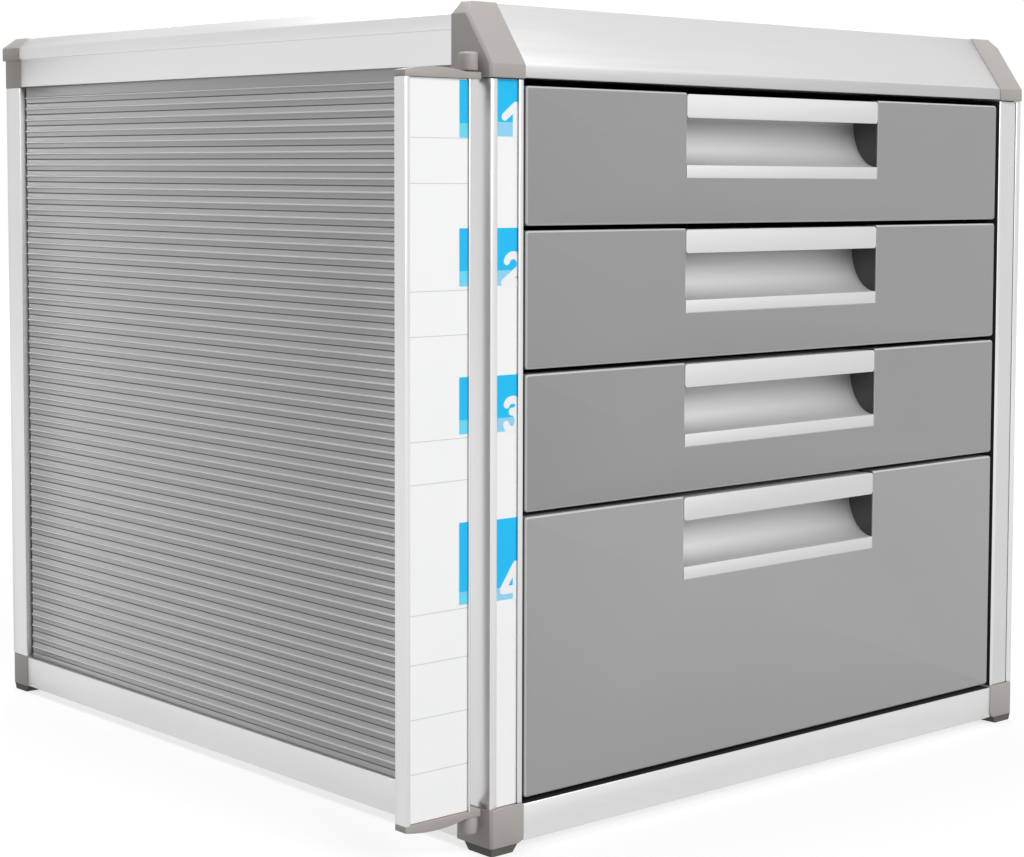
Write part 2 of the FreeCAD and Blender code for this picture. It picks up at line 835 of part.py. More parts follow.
def tray(index):
    """A deep box with a rim that rides on the runners, and a nib on each side that meets the stop lug."""
    low = drawer_bottoms[index] + tray_lift
    top = tray_top(index)
    under = rim_bottom(index)
    body = rounded_block(
        -tray_half_width, tray_half_width, tray_front_y, tray_rear_y, low, top, tray_corner_radius
    )
    rim = box(-rim_half_width, rim_half_width, tray_front_y + tray_corner_radius, rim_rear_y, under, top)
    inside = rounded_block(
        -tray_half_width + tray_wall,
        tray_half_width - tray_wall,
        tray_front_y + tray_wall,
        tray_rear_y - tray_wall,
        low + tray_floor,
        top + 1,
        tray_corner_radius - tray_wall,
    )
    shell = body.fuse(rim).cut(inside)
    extras = []
    pitch = 2 * (tray_half_width - tray_wall) / tray_rib_count
    for k in range(tray_rib_count):
        x = (k - (tray_rib_count - 1) / 2) * pitch
        start = tray_front_y + tray_corner_radius
        end = tray_rear_y - tray_corner_radius
        floor_z = low + tray_floor
        near, far = x - tray_rib_width / 2, x + tray_rib_width / 2
        extras.append(box(near, far, start, end, floor_z - 0.5, floor_z + tray_rib_height))
    lug_back = runner_front_y + stop_length
    nib_y = lug_back + drawer_travel + stop_clearance
    nib_top = under - 2 * runner_clearance - runner_thickness
    nib_x = tray_half_width + runner_reach - 1
    for side in (-1, 1):
        near, far = side * (tray_half_width - 0.5), side * nib_x
        extras.append(box(near, far, nib_y, nib_y + stop_length, nib_top - stop_height, nib_top))
    return shell.fuse(extras)


# ---- Index board, at rest straight out to the left ----
board_window_near = board_near_x - board_lip_inner
board_window_far = board_far_x + board_lip_outer
board_slot_y = board_front_y + card_lip_thickness
board_slot_back_y = board_slot_y + card_slot_depth


def board_cavity(clearance, z0, z1):
    return box(
        board_near_x - board_wall - clearance,
        board_far_x + board_wall + clearance,
        board_slot_back_y + board_wall + clearance,
        board_back_y - board_wall - clearance,
        z0,
        z1,
    )


def board_channel():
    z0, z1 = board_channel_z, board_channel_top_z
    channel = box(board_far_x, board_near_x, board_front_y, board_back_y, z0, z1)
    near = board_window_near + board_near_undercut
    far = board_window_far - card_lip_reach
    slot = box(near, far, board_slot_y, board_slot_back_y, z0, z1)
    window = box(board_window_near, board_window_far, board_front_y - 1, board_slot_back_y, z0, z1)
    return channel.cut([slot, window, board_cavity(0, z0, z1)])


def board_strip(y0, y1):
    near = board_window_near + board_near_undercut - slip_clearance
    far = board_window_far - card_lip_reach + slip_clearance
    return box(near, far, y0, y1, board_channel_z + card_end_gap, board_channel_top_z - card_end_gap)


def board_cap(mate_z, out):
    """An end cap, arched along its outer side, with a plug in the channel and a pivot pin at its heel.
    out is 1 for the top cap and -1 for the bottom one."""
    front = board_front_y
    heel = hinge_x + ear_radius
    far = board_far_x
    level = mate_z + out * cap_thickness
    end = Vector(far, front, mate_z + out * cap_end_thickness)
    crown = Vector(far + cap_crown_reach, front, mate_z + out * cap_crown)
    foot_of_arch = Vector(hinge_x - cap_arch_end, front, level)
    arch = Part.Arc(end, crown, foot_of_arch).toShape()
    corners = [Vector(heel, front, level), Vector(heel, front, mate_z), Vector(far, front, mate_z)]
    rest = Part.makePolygon([foot_of_arch] + corners + [end])
    plate = Part.Face(Part.Wire([arch] + rest.Edges)).extrude(Vector(0, board_thickness, 0))
    plug_end = mate_z - out * cap_plug_length
    plug = board_cavity(tenon_clearance, min(plug_end, level), max(plug_end, level))
    pin_end = level + out * hinge_pin_length
    pin = cylinder_z(hinge_x, hinge_y, hinge_pin_radius, min(pin_end, mate_z), max(pin_end, mate_z))
    return plate.fuse([plug, pin])


# ---- Every piece, in the order in which the cabinet goes together ----
def save_pair(name, shape):
    save(f"{name}_left", shape)
    save(f"{name}_right", mirrored(shape))


save("bottom_rail_front", front_bottom_rail())
save("bottom_rail_rear", rear_bottom_rail())
save_pair("bottom_rail", side_bottom_rail())
save("top_rail_front", front_top_rail())
save("top_rail_rear", rear_top_rail())
save_pair("top_rail", side_top_rail())

lower_ear_z = board_bottom_z - ear_end_clearance - ear_height
front_bottom = bottom_front_corner()
save("bottom_corner_front_left", with_ear(front_bottom, lower_ear_z, "top"))
save("bottom_corner_front_right", mirrored(front_bottom))
save_pair("bottom_corner_rear", bottom_rear_corner())
front_top = top_front_corner()
save("top_corner_front_left", with_ear(front_top, board_top_z + ear_top_clearance, "bottom"))
save("top_corner_front_right", mirrored(front_top))
save_pair("top_corner_rear", top_rear_corner())

save_pair("post_front", front_post())
save_pair("post_rear", rear_post())
save("post_index_card", post_index_card())
save("post_index_cover", post_index_cover())
save("post_blank_strip", post_blank_strip())

save_pair("side_panel", side_panel())
save("back_panel", back_panel())
save("bottom_panel", bottom_panel())
save("top_panel", top_panel())
save_pair("runner_frame", runner_frame())

feet = []
for outer_y, inner_y in (
    (front_y, front_y + foot_inset + foot_length),
    (rear_y, rear_y - foot_inset - foot_width),
):
    pad = foot(outer_y, inner_y)
    feet += [pad, mirrored(pad)]
save("feet", *feet)

for index, (bottom, height) in enumerate(zip(drawer_bottoms, drawer_heights)):
    name = f"drawer_{index + 1}"
    handle_top = bottom + height - handle_top_drop
    save(f"{name}_front", drawer_front(bottom, height))
    save(f"{name}_tray", tray(index))
    save(f"{name}_handle", handle(handle_top))
    save(f"{name}_handle_cheeks", *handle_cheeks(handle_top))

save("index_board_channel", board_channel())
save("index_board_cover", board_strip(board_slot_y, board_slot_y + cover_thickness))
save("index_board_card", board_strip(board_slot_back_y - card_thickness, board_slot_back_y))
save("index_board_top_cap", board_cap(board_channel_top_z, 1))
save("index_board_bottom_cap", board_cap(board_channel_z, -1))
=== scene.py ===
import json
import math

import bmesh
import bpy
from mathutils import Matrix, Vector


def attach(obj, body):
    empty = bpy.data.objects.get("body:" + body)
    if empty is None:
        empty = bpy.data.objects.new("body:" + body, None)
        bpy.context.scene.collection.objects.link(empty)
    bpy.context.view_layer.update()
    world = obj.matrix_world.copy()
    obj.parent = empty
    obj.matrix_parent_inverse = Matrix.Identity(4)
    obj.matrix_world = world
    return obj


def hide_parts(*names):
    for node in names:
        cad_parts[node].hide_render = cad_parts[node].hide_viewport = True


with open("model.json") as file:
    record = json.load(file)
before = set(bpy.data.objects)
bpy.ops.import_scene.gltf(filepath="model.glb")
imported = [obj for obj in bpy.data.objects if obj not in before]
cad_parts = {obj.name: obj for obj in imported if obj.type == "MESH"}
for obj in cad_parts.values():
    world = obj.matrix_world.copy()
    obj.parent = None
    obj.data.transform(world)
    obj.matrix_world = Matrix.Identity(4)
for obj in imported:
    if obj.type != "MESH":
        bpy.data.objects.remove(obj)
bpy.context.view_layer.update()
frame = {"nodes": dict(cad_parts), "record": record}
nodes = frame["nodes"]
mm = 0.001
reliefDepth = 0.1  # mm, of every fine grain and die line
print("frame loaded:", len(nodes), "nodes")


def srgb(hexText, alpha=1.0):
    channels = [int(hexText[i:i + 2], 16) / 255 for i in (1, 3, 5)]
    linear = [c / 12.92 if c <= 0.04045 else ((c + 0.055) / 1.055) ** 2.4 for c in channels]
    return (*linear, alpha)


def addNode(tree, kind, inputs=None, **settings):
    node = tree.nodes.new(kind)
    for name, value in settings.items():
        setattr(node, name, value)
    for name, value in (inputs or {}).items():
        if isinstance(value, bpy.types.NodeSocket):
            tree.links.new(value, node.inputs[name])
        else:
            node.inputs[name].default_value = value
    return node


def newMaterial(name, **shader):
    material = bpy.data.materials.new(name)
    material.use_nodes = True
    tree = material.node_tree
    tree.nodes.clear()
    body = addNode(tree, "ShaderNodeBsdfPrincipled", shader)
    addNode(tree, "ShaderNodeOutputMaterial", {"Surface": body.outputs["BSDF"]})
    return material, tree, body


def grainSize(size):
    return 1 / (size * mm)  # a noise cell of that many millimetres


# Colour between two tones, gloss between two roughnesses and, where asked, a shallow relief.
def dress(tree, body, settings, toneFactor, glossFactor, relief=None):
    ramp = addNode(tree, "ShaderNodeValToRGB", {"Fac": toneFactor})
    for element, tone in zip(ramp.color_ramp.elements, settings["tones"]):
        element.color = srgb(tone)
    tree.links.new(ramp.outputs["Color"], body.inputs["Base Color"])
    low, high = settings["roughness"]
    gloss = addNode(tree, "ShaderNodeMapRange", {"Value": glossFactor, "To Min": low, "To Max": high})
    tree.links.new(gloss.outputs["Result"], body.inputs["Roughness"])
    if relief is not None:
        bump = addNode(tree, "ShaderNodeBump", {
            "Height": relief, "Strength": settings["bump"], "Distance": reliefDepth * mm,
        })
        tree.links.new(bump.outputs["Normal"], body.inputs["Normal"])


# Anodised aluminium, extruded: pale and silky, with faint die lines along its length.
extrusion = {
    "tones": ("#d2d1d1", "#dedddd"),
    "dieLine": 0.5,  # mm across; the real lines are finer, drawn as coarse as they show
    "lineLength": 90,  # mm
    "cloud": 60,  # mm, slow changes of tone over the length
    "roughness": (0.26, 0.38),
    "bump": 0.02,
}


def anodisedAluminium(name, along, settings):
    material, tree, body = newMaterial(name, Metallic=1.0)
    place = addNode(tree, "ShaderNodeTexCoord").outputs["Object"]
    stretch = [grainSize(settings["dieLine"])] * 3
    stretch["xyz".index(along)] = grainSize(settings["lineLength"])
    lines = addNode(tree, "ShaderNodeMapping", {"Vector": place, "Scale": stretch})
    die = addNode(tree, "ShaderNodeTexNoise", {
        "Vector": lines.outputs["Vector"], "Scale": 1.0, "Detail": 3.0,
    }).outputs["Fac"]
    cloud = addNode(tree, "ShaderNodeTexNoise", {
        "Vector": place, "Scale": grainSize(settings["cloud"]), "Detail": 2.0,
    }).outputs["Fac"]
    blend = addNode(tree, "ShaderNodeMix", {"Factor": 0.5, "A": die, "B": cloud})
    dress(tree, body, settings, blend.outputs["Result"], die, die)
    return material


# The same metal bead-blasted before anodising: a wide soft shine, so the scoop stays pale into its corners.
mattExtrusion = {
    **extrusion, "tones": ("#c5c4c4", "#cccbcb"), "lineLength": 60, "roughness": (0.66, 0.76), "bump": 0.03,
}
# Painted shade: a darker band, and duller, than the silky metal over it.
eaveExtrusionPaintedShade = {
    **extrusion, "tones": ("#b4b3b3", "#bbbaba"), "lineLength": 60, "roughness": (0.5, 0.6), "bump": 0.03,
}

railX = anodisedAluminium("anodisedAluminiumAlongX", "x", extrusion)
handleMetal = anodisedAluminium("blastedAluminiumAlongX", "x", mattExtrusion)
eavePaintedShade = anodisedAluminium("aluminiumEavePaintedShadeAlongX", "x", eaveExtrusionPaintedShade)
railY = anodisedAluminium("anodisedAluminiumAlongY", "y", extrusion)
railZ = anodisedAluminium("anodisedAluminiumAlongZ", "z", extrusion)


# ABS, polystyrene and their like, moulded or extruded: an even colour with a fine grain and slow flow marks.
# The grain and flow sizes are in mm.
def mouldedPlastic(name, settings):
    material, tree, body = newMaterial(name, **{
        "Coat Weight": settings.get("coat", 0.0), "Coat Roughness": 0.15,
        "Specular IOR Level": settings.get("specular", 0.5),
    })
    place = addNode(tree, "ShaderNodeTexCoord").outputs["Object"]
    grain, flow = (
        addNode(tree, "ShaderNodeTexNoise", {
            "Vector": place, "Scale": grainSize(settings[pattern]), "Detail": 2.0,
        }).outputs["Fac"]
        for pattern in ("grain", "flow")
    )
    dress(tree, body, settings, flow, flow, grain)
    return material


# Spark-eroded mould: a matt warm grey.
cornerAbs = mouldedPlastic("mouldedAbsWarmGrey", {
    "tones": ("#a5a09c", "#aca7a3"), "roughness": (0.42, 0.5), "grain": 0.5, "flow": 25, "bump": 0.12,
})
# Satin mould: the fronts take a soft sheen. The tall one is one shade paler than the other three, painted
# light for the lowest front, which gets more light.
satinAbs = {"roughness": (0.36, 0.42), "grain": 0.4, "flow": 70, "bump": 0.05}
frontAbs = mouldedPlastic("mouldedAbsSatinGrey", {**satinAbs, "tones": ("#929293", "#979798")})
tallFrontPaintedLight = mouldedPlastic("mouldedAbsSatinGreyTallPaintedLight", {**satinAbs, "tones": ("#9e9e9f", "#a3a3a4")})
# Painted highlight: a paler tone on the fronts' rounded edge, so it shows as a thin pale line.
paintedEdgeHighlight = mouldedPlastic("mouldedAbsSatinGreyEdgePaintedHighlight", {
    **satinAbs, "tones": ("#cacacb", "#d0d0d1"), "roughness": (0.3, 0.36), "bump": 0.0,
})
trayStyrene = mouldedPlastic("mouldedStyreneGrey", {
    "tones": ("#8f8f91", "#959597"), "roughness": (0.4, 0.48), "grain": 0.6, "flow": 60, "bump": 0.08,
})
runnerNylon = mouldedPlastic("mouldedNylonDarkGrey", {
    "tones": ("#4a4a4c", "#525254"), "roughness": (0.38, 0.5), "grain": 0.6, "flow": 40, "bump": 0.08,
})
# Deep and matt, so the ends of each scoop read as shadow.
cheekAbs = mouldedPlastic("mouldedAbsNearBlack", {
    "tones": ("#363636", "#3f3f3f"), "roughness": (0.4, 0.5), "grain": 0.4, "flow": 12, "bump": 0.1,
})
# Plain extruded sheet: flat and dull, with hardly any glare even when seen along its face.
sheetStyrene = mouldedPlastic("extrudedStyreneSheetGrey", {
    "tones": ("#8b8b8d", "#919193"), "roughness": (0.55, 0.62), "grain": 0.7, "flow": 80, "bump": 0.1,
    "specular": 0.2,
})
# Rubber: the dullest of all, it barely shines.
footRubber = mouldedPlastic("mouldedRubberDark", {
    "tones": ("#57524e", "#615c57"), "roughness": (0.6, 0.75), "grain": 0.5, "flow": 6, "bump": 0.2,
})
blankStyrene = mouldedPlastic("extrudedStyreneStripPale", {
    "tones": ("#d6d5d5", "#dddcdc"), "roughness": (0.3, 0.38), "grain": 0.5, "flow": 30, "bump": 0.04,
})
# Coated card, calendered: white and even.
cardPaper = mouldedPlastic("coatedCardWhite", {
    "tones": ("#fafbfb", "#fefefe"), "roughness": (0.4, 0.5), "grain": 0.3, "flow": 20, "bump": 0.04,
})
# Glossy extruded sheet. Its beads' tops take a painted highlight, a paler tone, and its flutes a painted
# shade, a darker one.
ribbedStyrene = {"grain": 0.8, "flow": 60, "bump": 0.0, "coat": 0.5}
panelStyrene = mouldedPlastic("extrudedStyreneRibbedGrey", {
    **ribbedStyrene, "tones": ("#c0c0c2", "#c7c7c9"), "roughness": (0.2, 0.28),
})
# Painted highlight: a paler tone for the beads' tops.
crestPaintedHighlight = mouldedPlastic("extrudedStyreneCrestPaintedHighlight", {
    **ribbedStyrene, "tones": ("#e8e8e9", "#efeff0"), "roughness": (0.16, 0.22),
})
# Painted shade: a darker tone for the flutes.
flutePaintedShade = mouldedPlastic("extrudedStyreneFlutePaintedShade", {
    **ribbedStyrene, "tones": ("#767678", "#7e7e80"), "roughness": (0.4, 0.5), "coat": 0.0,
})
# Painted shade for the gaps round the drawers: a matt black from which almost no light comes back.
paintedGapShade = mouldedPlastic("paintedGapShadeBlack", {
    "tones": ("#0b0b0b", "#131313"), "roughness": (0.85, 0.95), "grain": 0.3, "flow": 10, "bump": 0.3,
})

# Clear rigid PVC, extruded: nearly invisible, it only adds a thin gloss over the card.
cover = {"alpha": 0.012, "ior": 1.53, "wave": 30, "tones": ("#f2f5f6", "#ffffff"), "roughness": (0.06, 0.12)}
coverPvc, coverTree, coverBody = newMaterial("extrudedPvcClear", Alpha=cover["alpha"], IOR=cover["ior"])
coverWave = addNode(coverTree, "ShaderNodeTexNoise", {"Scale": grainSize(cover["wave"])}).outputs["Fac"]
dress(coverTree, coverBody, cover, coverWave, coverWave)
print("materials made:", len(bpy.data.materials))

finishes = {
    "bottom_rail_front": railX, "bottom_rail_rear": railX, "top_rail_front": railX, "top_rail_rear": railX,
    "bottom_rail_left": railY, "bottom_rail_right": railY, "top_rail_left": railY, "top_rail_right": railY,
    "post_front_left": railZ, "post_front_right": railZ, "post_rear_left": railZ, "post_rear_right": railZ,
    "index_board_channel": railZ,
    "back_panel": sheetStyrene, "bottom_panel": sheetStyrene, "top_panel": sheetStyrene,
    "side_panel_left": panelStyrene, "side_panel_right": panelStyrene,
    "runner_frame_left": runnerNylon, "runner_frame_right": runnerNylon,
    "feet": footRubber,
    "post_index_card": cardPaper, "index_board_card": cardPaper, "post_blank_strip": blankStyrene,
    "post_index_cover": coverPvc, "index_board_cover": coverPvc,
    "index_board_top_cap": cornerAbs, "index_board_bottom_cap": cornerAbs,
}
drawerFinishes = {"front": frontAbs, "tray": trayStyrene, "handle": handleMetal, "handle_cheeks": cheekAbs}
for name in nodes:
    if "corner" in name:
        finishes[name] = cornerAbs
    if name.startswith("drawer"):
        finishes[name] = drawerFinishes[name.split("_", 2)[2]]
finishes["drawer_4_front"] = tallFrontPaintedLight

# Edges that a die or a mould leaves a little round, in mm, so that they catch the light.
edgeRounding = {"aluminium": 0.3, "corner": 0.25, "front": 0.5, "panel": 0.12}
smoothing = {
    "weld": 0.002,  # mm, points nearer than this become one
    "weldAfter": 0.001,
    "flatAngle": 0.5,  # degrees, below it two faces count as one
    "edgeAngle": 28,  # above it an edge is rounded
    "shadeAngle": 35,  # above it an edge is shaded sharp
}


def roundedCopy(name, width):
    node = nodes[name]
    mesh = node.data.copy()
    mesh.name = name + "Soft"
    work = bmesh.new()
    work.from_mesh(mesh)
    bmesh.ops.remove_doubles(work, verts=work.verts, dist=smoothing["weld"] * mm)
    flat, sharp = math.radians(smoothing["flatAngle"]), math.radians(smoothing["edgeAngle"])
    bmesh.ops.dissolve_limit(work, angle_limit=flat, verts=work.verts, edges=work.edges, delimit=set())
    edges = [e for e in work.edges if len(e.link_faces) == 2 and e.calc_face_angle(0) > sharp]
    bmesh.ops.bevel(
        work, geom=edges, offset=width * mm, offset_type="OFFSET", segments=2, profile=0.5,
        affect="EDGES", clamp_overlap=True, harden_normals=False,
    )
    bmesh.ops.remove_doubles(work, verts=work.verts, dist=smoothing["weldAfter"] * mm)
    for face in work.faces:
        face.smooth = True
    work.to_mesh(mesh)
    work.free()
    mesh.set_sharp_from_angle(angle=math.radians(smoothing["shadeAngle"]))
    piece = bpy.data.objects.new(name + "Soft", mesh)
    bpy.context.scene.collection.objects.link(piece)
    body = next(b for b, members in frame["record"]["behaviour"]["bodies"].items() if name in members)
    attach(piece, body)
    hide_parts(name)
    return piece


roundings = {
    railX: edgeRounding["aluminium"], railY: edgeRounding["aluminium"], railZ: edgeRounding["aluminium"],
    handleMetal: edgeRounding["aluminium"],
    cornerAbs: edgeRounding["corner"], panelStyrene: edgeRounding["panel"],
    frontAbs: edgeRounding["front"], tallFrontPaintedLight: edgeRounding["front"],
}
softened = {name: roundings[finishes[name]] for name in nodes if finishes[name] in roundings}
looks = {}
for name, node in nodes.items():
    looks[name] = piece = roundedCopy(name, softened[name]) if name in softened else node
    piece.data.materials.clear()
    piece.data.materials.append(finishes[name])


# A second finish on some faces of a node; chosen says which, from the face's middle in mm and its normal.
def addFinish(name, material, chosen):
    mesh = looks[name].data
    mesh.materials.append(material)
    for face in mesh.polygons:
        if chosen(face.center / mm, face.normal):
            face.material_index = len(mesh.materials) - 1


# The outermost level of a node, in mm, along one axis (0, 1, 2) and in one sense of it (1 or -1).
def reachOf(name, axis, sense):
    return max(sense * vertex.co[axis] for vertex in looks[name].data.vertices) / mm


# Painted highlight on the beads of the side panels and painted shade in the flutes: a paler tone on the
# beads' tops and a darker one in the flutes, so that both show.
ribbing = {"beadHeight": 0.5, "skin": 0.15, "fluteDepth": 0.5, "margin": 0.05}  # mm
for name, side in (("side_panel_left", -1), ("side_panel_right", 1)):
    crest = reachOf(name, 0, side)
    flute = crest - ribbing["beadHeight"] - ribbing["margin"]
    addFinish(name, crestPaintedHighlight, lambda spot, normal: side * spot.x > crest - ribbing["skin"])
    addFinish(name, flutePaintedShade, lambda spot, normal: flute - ribbing["fluteDepth"] < side * spot.x < flute)

# Painted shade: matt black on the faces of the frame beside and below the drawers, so the gaps round them
# stay dark.
gap = {"margin": 0.1, "facing": 0.95}  # mm, and how squarely a face looks that way
for name, side in (("post_front_left", 1), ("post_front_right", -1)):
    inner = reachOf(name, 0, side) - gap["margin"]
    addFinish(name, paintedGapShade, lambda spot, normal: side * spot.x > inner and side * normal.x > gap["facing"])
ledge = reachOf("bottom_rail_front", 2, 1) - gap["margin"]
addFinish("bottom_rail_front", paintedGapShade, lambda spot, normal: spot.z > ledge and normal.z > gap["facing"])

# Painted shade: the upright lip under the front slope is darker and duller than the slope.
lip = {"depth": 0.5, "facing": 0.85}
brow = reachOf("top_rail_front", 1, -1) - lip["depth"]
addFinish("top_rail_front", eavePaintedShade, lambda spot, normal: -spot.y > brow and -normal.y > lip["facing"])

# Painted highlight: the bevel round each drawer front is paler and shows as a thin line.
bevel = {"depth": 0.9, "facing": (0.3, 0.95)}
for number in (1, 2, 3, 4):
    name = "drawer_%d_front" % number
    edge = reachOf(name, 1, -1) - bevel["depth"]
    slant, square = bevel["facing"]
    addFinish(name, paintedEdgeHighlight, lambda spot, normal: -spot.y > edge and slant < -normal.y < square)
print("edges rounded on", len(softened), "pieces")

# Printed labels: ink patches and numerals on the two cards, a few hundredths of a millimetre thick.
labels = {
    "inkDepth": 0.03,  # mm
    "cornerRadius": 0.15,
    "strokeRadius": 1.4,
    # top of each patch, height of the strong part, height of the pale part; mm above the floor
    "patches": ((274.0, 14.8, 5.0), (222.3, 14.8, 5.3), (170.8, 15.0, 4.9), (120.1, 24.4, 4.5)),
    "ruleLevels": (253.0, 237.5, 200.8, 185.4, 149.5, 134.8, 89.8, 72.7, 53.7, 34.7),
    "ruleHeight": 0.3,
    "stripWidth": 3.8,
    "inset": 0.1,  # from the card's edges
    "ruleRadius": 0.1,
    "numeralLift": 1.6,  # ink depths above the card
    "strokeLift": 0.2,  # more for each further stroke
    "roughness": (0.4, 0.5),
    "fleck": 0.8,
}


def printInk(name, tones):
    material, tree, body = newMaterial(name, **{"Specular IOR Level": 0.15})
    place = addNode(tree, "ShaderNodeTexCoord").outputs["Object"]
    fleck = addNode(tree, "ShaderNodeTexNoise", {
        "Vector": place, "Scale": grainSize(labels["fleck"]), "Detail": 2.0,
    }).outputs["Fac"]
    dress(tree, body, {"tones": tones, "roughness": labels["roughness"]}, fleck, fleck)
    return material


# Offset ink on coated card: flat bright colour with a faint fleck.
inkBlue = printInk("offsetInkBlue", ("#00c0fa", "#00c8ff"))
inkPale = printInk("offsetInkPaleBlue", ("#66dcfb", "#72e2fe"))
inkMist = printInk("offsetInkMistBlue", ("#8fd7f8", "#9adcfa"))
inkWhite = printInk("offsetInkWhite", ("#f6f8f9", "#fcfdfd"))
inkGrey = printInk("offsetInkPaleGrey", ("#d3d8dc", "#dce0e3"))


# An upright plate: the outline runs along X and Z and the front lies at frontY.
def addSlab(work, outline, frontY, depth):
    front = [work.verts.new((x * mm, frontY * mm, z * mm)) for x, z in outline]
    back = [work.verts.new((x * mm, (frontY + depth) * mm, z * mm)) for x, z in outline]
    work.faces.new(front)
    work.faces.new(list(reversed(back)))
    for k in range(len(outline)):
        after = (k + 1) % len(outline)
        work.faces.new((front[after], front[k], back[k], back[after]))


def roundedRectangle(x0, x1, z0, z1, radius, steps=3):
    points = []
    for cx, cz, start in ((x1, z1, 0), (x0, z1, 90), (x0, z0, 180), (x1, z0, 270)):
        inX = cx - radius if cx == x1 else cx + radius
        inZ = cz - radius if cz == z1 else cz + radius
        for step in range(steps + 1):
            turn = math.radians(start + 90 * step / steps)
            points.append((inX + radius * math.cos(turn), inZ + radius * math.sin(turn)))
    return points


# The outline of a round-ended pen stroke along a smooth path.
def strokeOutline(path, radius, capSteps=8):
    sides = ([], [])
    for k, (x, z) in enumerate(path):
        before, after = path[max(k - 1, 0)], path[min(k + 1, len(path) - 1)]
        heading = math.atan2(after[1] - before[1], after[0] - before[0])
        for side, sign in zip(sides, (1, -1)):
            normal = heading + sign * math.pi / 2
            side.append((x + radius * math.cos(normal), z + radius * math.sin(normal)))
    caps = []
    for inner, outer in ((path[-2], path[-1]), (path[1], path[0])):
        heading = math.atan2(outer[1] - inner[1], outer[0] - inner[0])
        turns = [heading + math.pi / 2 - math.pi * (step + 1) / (capSteps + 1) for step in range(capSteps)]
        caps.append([(outer[0] + radius * math.cos(t), outer[1] + radius * math.sin(t)) for t in turns])
    return list(reversed(sides[0] + caps[0] + list(reversed(sides[1])) + caps[1]))


# Points on part of an ellipse, between two turns in degrees.
def sweep(cx, cz, rx, rz, start, end, steps=20):
    turns = [math.radians(start + (end - start) * k / steps) for k in range(steps + 1)]
    return [(cx + rx * math.cos(t), cz + rz * math.sin(t)) for t in turns]


# Pen strokes of the numerals, in mm from the left edge of the card and the top of the patch.
numerals = (
    ([(4.8, -13.1), (9.8, -9.2)], [(9.9, -9.2), (9.9, -20.5)]),
    (sweep(8.8, -12.7, 3.1, 3.1, 160, -38) + [(4.7, -19.1)], [(4.7, -19.1), (13.0, -19.1)]),
    (sweep(8.6, -11.0, 2.7, 2.1, 165, -90), sweep(8.3, -16.4, 2.7, 3.3, 90, -160)),
    ([(10.2, -16.9), (4.4, -25.2)], [(4.4, -25.5), (13.0, -25.5)], [(10.3, -16.9), (10.3, -28.6)]),
)


def addPiece(name, body, material, fill, cutX=None):
    work = bmesh.new()
    fill(work)
    if cutX is not None:
        geometry = work.verts[:] + work.edges[:] + work.faces[:]
        cut = bmesh.ops.bisect_plane(
            work, geom=geometry, plane_co=(cutX * mm, 0, 0), plane_no=(1, 0, 0), clear_outer=True,
        )
        bmesh.ops.holes_fill(work, edges=[e for e in cut["geom_cut"] if isinstance(e, bmesh.types.BMEdge)])
    bmesh.ops.recalc_face_normals(work, faces=work.faces)
    mesh = bpy.data.meshes.new(name)
    work.to_mesh(mesh)
    work.free()
    mesh.materials.append(material)
    piece = bpy.data.objects.new(name, mesh)
    bpy.context.scene.collection.objects.link(piece)
    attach(piece, body)
    return piece


# The smallest and largest corner of a node, in mm.
def nodeBounds(name):
    corners = [nodes[name].matrix_world @ Vector(corner) for corner in nodes[name].bound_box]
    return [[pick(c[axis] for c in corners) / mm for axis in range(3)] for pick in (min, max)]


def printCard(card, body, side, withNumerals):
    low, high = nodeBounds(card)
    depth, inset = labels["inkDepth"], labels["inset"]
    right = high[0] - inset
    left = low[0] + inset if side == "full" else right - labels["stripWidth"]

    def patches(part):
        def fill(work):
            for top, strong, pale in labels["patches"]:
                top = min(top, high[2] - inset)
                bounds = (top - strong, top) if part == "strong" else (top - strong - pale, top - strong)
                outline = roundedRectangle(left, right, *bounds, labels["cornerRadius"])
                addSlab(work, outline, low[1] - depth, depth * 2)
        return fill

    def figures(work):
        for (top, _, _), strokes in zip(labels["patches"], numerals):
            for layer, stroke in enumerate(strokes):
                path = [(low[0] + x, top + z) for x, z in stroke]
                lift = depth * (labels["numeralLift"] + labels["strokeLift"] * layer)
                addSlab(work, strokeOutline(path, labels["strokeRadius"]), low[1] - lift, depth)

    def rules(work):
        for level in labels["ruleLevels"]:
            top = level + labels["ruleHeight"]
            outline = roundedRectangle(low[0] + inset, right, level, top, labels["ruleRadius"])
            addSlab(work, outline, low[1] - depth / 2, depth)

    addPiece(card + "_ink_blue", body, inkBlue, patches("strong"))
    addPiece(card + "_ink_pale", body, inkMist if withNumerals else inkPale, patches("pale"))
    if withNumerals:
        addPiece(card + "_numerals", body, inkWhite, figures, right)
    else:
        addPiece(card + "_rules", body, inkGrey, rules)


printCard("post_index_card", "cabinet", "full", True)
printCard("index_board_card", "index_board", "strip", False)
print("labels printed")

# Pan-head screws that hold each drawer front to its tray, on the inside of the tray's front wall.
screws = {
    "headRadius": 2.8,  # mm
    "headHeight": 1.7,
    "recessReach": 1.6,
    "recessHalfWidth": 0.42,
    "recessDepth": 0.9,
    "edgeGap": 12.5,
    "sideGap": 21.85,
    "wallThickness": 2.0,
    "rounding": ((1.0, 0.3), (0.9, 0.65), (0.74, 0.9), (0.64, 1.0)),  # parts of the radius and the height
    "sunk": 0.1,  # into the wall
    "circleSteps": 24,
    "tones": ("#c9c9c6", "#d8d8d4"),
    "cloud": 1.2,
    "roughness": (0.28, 0.42),
}

